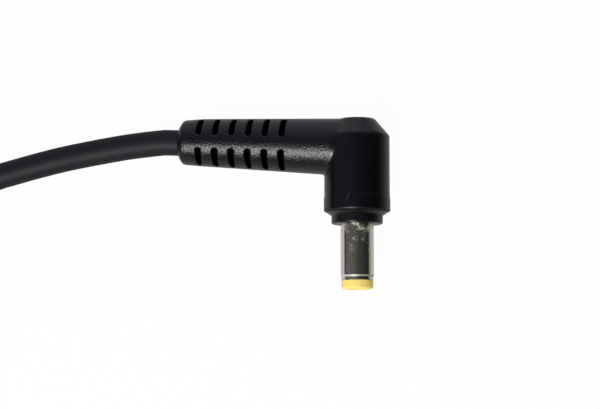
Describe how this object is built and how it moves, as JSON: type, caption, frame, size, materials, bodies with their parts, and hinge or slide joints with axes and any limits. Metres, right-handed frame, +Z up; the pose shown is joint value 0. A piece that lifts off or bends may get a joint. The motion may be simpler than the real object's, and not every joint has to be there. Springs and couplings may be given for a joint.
{
  "type": "laptop power adapter dc output plug and lead",
  "caption": "Right-angle barrel plug of a laptop power adapter, moulded with a slotted strain relief onto its round lead, which lies tied in a hank with a stripped end.",
  "frame": {"origin": "on the surface that the plug lies on, under the middle of the plug's box without its lead", "axes": "-Y along the barrel to its tip, -X along the handle towards the lead, +Z up off the surface"},
  "size_m": [0.1607, 0.0459, 0.0216],
  "materials": {
    "black_soft_pvc": "soft moulded PVC, satin with a fine grain, worn shinier on the handle",
    "black_hard_plastic": "smooth hard plastic",
    "worn_nickel": "bright nickel plating, tarnished in specks near the collar",
    "yellow_plastic": "warm yellow plastic",
    "bright_brass": "bright brass",
    "grey_fibre": "grey insulating fibre",
    "solder": "dull solder",
    "bare_copper": "bare copper strands",
    "tinned_copper": "tinned copper strands",
    "white_insulation": "white core insulation",
    "black_shrink_sleeve": "black heat-shrink sleeve",
    "black_lead_jacket": "soft PVC jacket, satin black with a faint blue cast",
    "black_strap": "woven hook-and-loop strap"
  },
  "bodies": {
    "root": {"overmould": "black_soft_pvc", "inner_mould": "black_hard_plastic", "outer_barrel": "worn_nickel", "tip_insulator": "yellow_plastic", "centre_contact": "bright_brass", "barrel_terminal": "worn_nickel", "insulating_washer": "grey_fibre", "centre_terminal": "bright_brass", "lead_jacket_end": "black_lead_jacket", "core_insulation": "white_insulation", "core_conductor": "bare_copper", "centre_solder": "solder", "pigtail_sleeve": "black_shrink_sleeve", "screen_pigtail": "tinned_copper", "barrel_solder": "solder", "dc_lead": "black_lead_jacket", "dc_lead_hank": "black_lead_jacket", "hank_strap": "black_strap", "end_sleeve": "black_shrink_sleeve", "positive_wire": "white_insulation", "positive_tinned_tip": "tinned_copper", "negative_wire": "black_shrink_sleeve", "negative_tinned_tip": "tinned_copper"}
  },
  "joints": []
}
